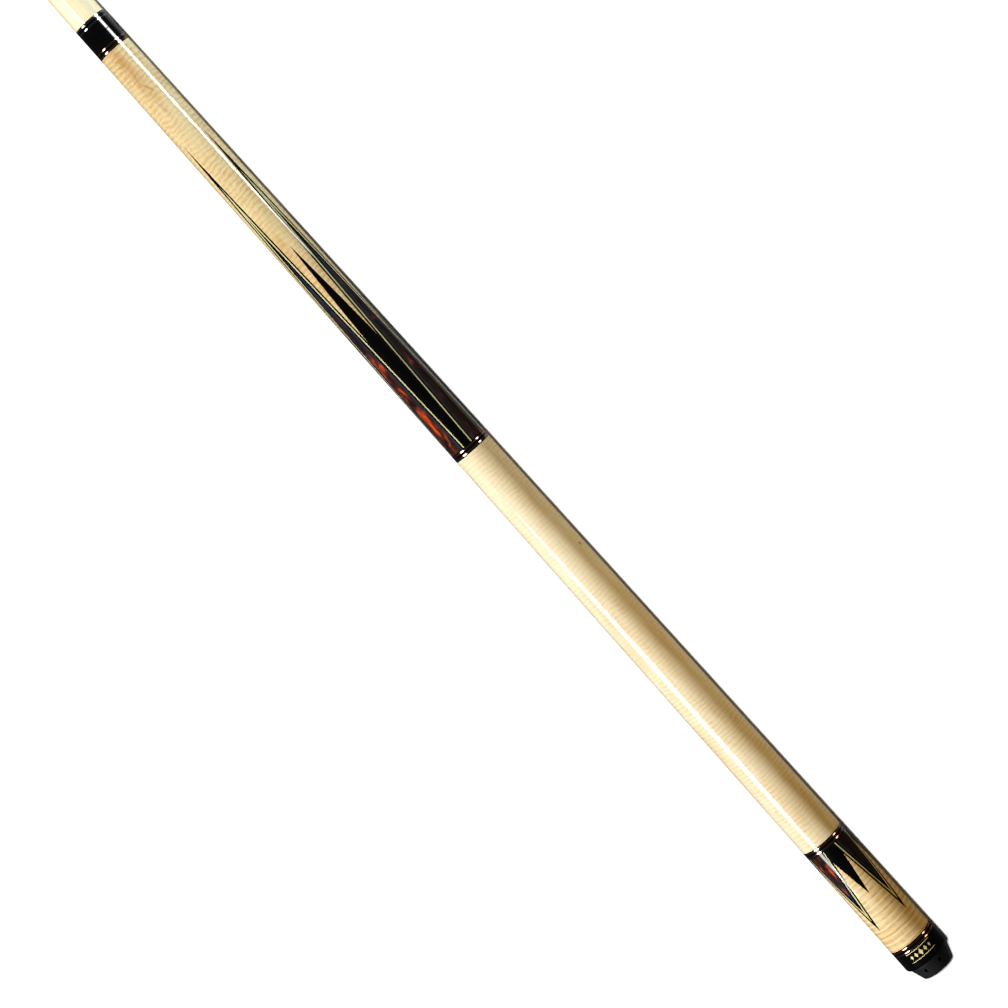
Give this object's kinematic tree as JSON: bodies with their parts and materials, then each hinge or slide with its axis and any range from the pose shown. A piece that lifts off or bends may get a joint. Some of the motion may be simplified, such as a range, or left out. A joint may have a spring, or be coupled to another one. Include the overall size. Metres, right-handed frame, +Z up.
{
  "type": "pool cue",
  "caption": "Two-piece pool cue with a screwed joint, spliced and veneered points in forearm and butt sleeve, turned handle, rubber bumper and leather tip.",
  "frame": {"origin": "centre of the flat end of the rubber bumper, on the cue's axis", "axes": "+X along the cue to the tip, +Z up, with the cue lying level"},
  "size_m": [1.4834, 0.0302, 0.0302],
  "materials": {
    "rubber": "matte moulded rubber",
    "steel": "machined",
    "figured_maple": "clear gloss over curly maple",
    "shaft_maple": "satin sealed straight-grained maple",
    "copper": "polished copper alloy",
    "silver": "polished nickel silver",
    "black_phenolic": "polished black phenolic",
    "gold": "gold filled inlay",
    "ebony": "clear gloss over ebony",
    "cocobolo": "clear gloss over cocobolo",
    "veneer_black": "dyed black veneer under clear gloss",
    "veneer_natural": "natural veneer under clear gloss",
    "veneer_blue": "dyed blue veneer under clear gloss",
    "brass": "turned brass",
    "ferrule_white": "polished white linen-filled resin",
    "fibre_pad": "black vulcanised fibre",
    "tip_leather": "pressed layered leather"
  },
  "bodies": {
    "butt": {"butt_sleeve": "figured_maple", "cap_rings": "copper", "cap_ring_spacers": "black_phenolic", "butt_cap": "black_phenolic", "cap_motif": "gold", "sleeve_rings": "copper", "sleeve_ring_spacers": "black_phenolic", "sleeve_stud": "steel", "handle": "figured_maple", "forearm_rings": "copper", "forearm_ring_spacers": "black_phenolic", "forearm_stud": "steel", "forearm": "figured_maple", "joint_rings": "copper", "joint_ring_spacers": "black_phenolic", "joint_collar": "black_phenolic", "joint_pin": "steel", "forearm_ebony_points": "ebony", "forearm_core_points": "cocobolo", "forearm_veneer_outer_black": "veneer_black", "forearm_veneer_natural": "veneer_natural", "forearm_veneer_inner_black": "veneer_black", "forearm_veneer_blue": "veneer_blue", "sleeve_ebony_points": "ebony", "sleeve_core_points": "cocobolo", "sleeve_veneer_outer_black": "veneer_black", "sleeve_veneer_natural": "veneer_natural", "sleeve_veneer_inner_black": "veneer_black", "sleeve_veneer_blue": "veneer_blue"},
    "bumper": {"bumper": "rubber"},
    "weight_bolt": {"weight_bolt": "steel"},
    "shaft_insert": {"shaft_insert": "brass"},
    "shaft": {"shaft_wood": "shaft_maple", "shaft_rings": "silver", "shaft_ring_spacers": "black_phenolic", "shaft_collar": "black_phenolic", "ferrule": "ferrule_white", "tip_pad": "fibre_pad", "tip": "tip_leather"}
  },
  "joints": [
    {"name": "joint_screw_travel", "type": "slide", "parent": "butt", "child": "shaft_insert", "axis": [1, 0, 0], "range_m": [0, 0.03302]},
    {"name": "joint_screw_turn", "type": "hinge", "parent": "shaft_insert", "child": "shaft", "pos_m": [0.7468, 0, 0], "axis": [1, 0, 0], "range_deg": [0, 4680]},
    {"name": "bumper_pull", "type": "slide", "parent": "butt", "child": "bumper", "axis": [-1, 0, 0], "range_m": [0, 0.013]},
    {"name": "weight_bolt_travel", "type": "slide", "parent": "butt", "child": "weight_bolt", "axis": [1, 0, 0], "range_m": [0, 0.012]}
  ],
  "couplings": [
    {"joint": "joint_screw_turn", "follows": "joint_screw_travel", "rad_per_m": 2473.7}
  ]
}
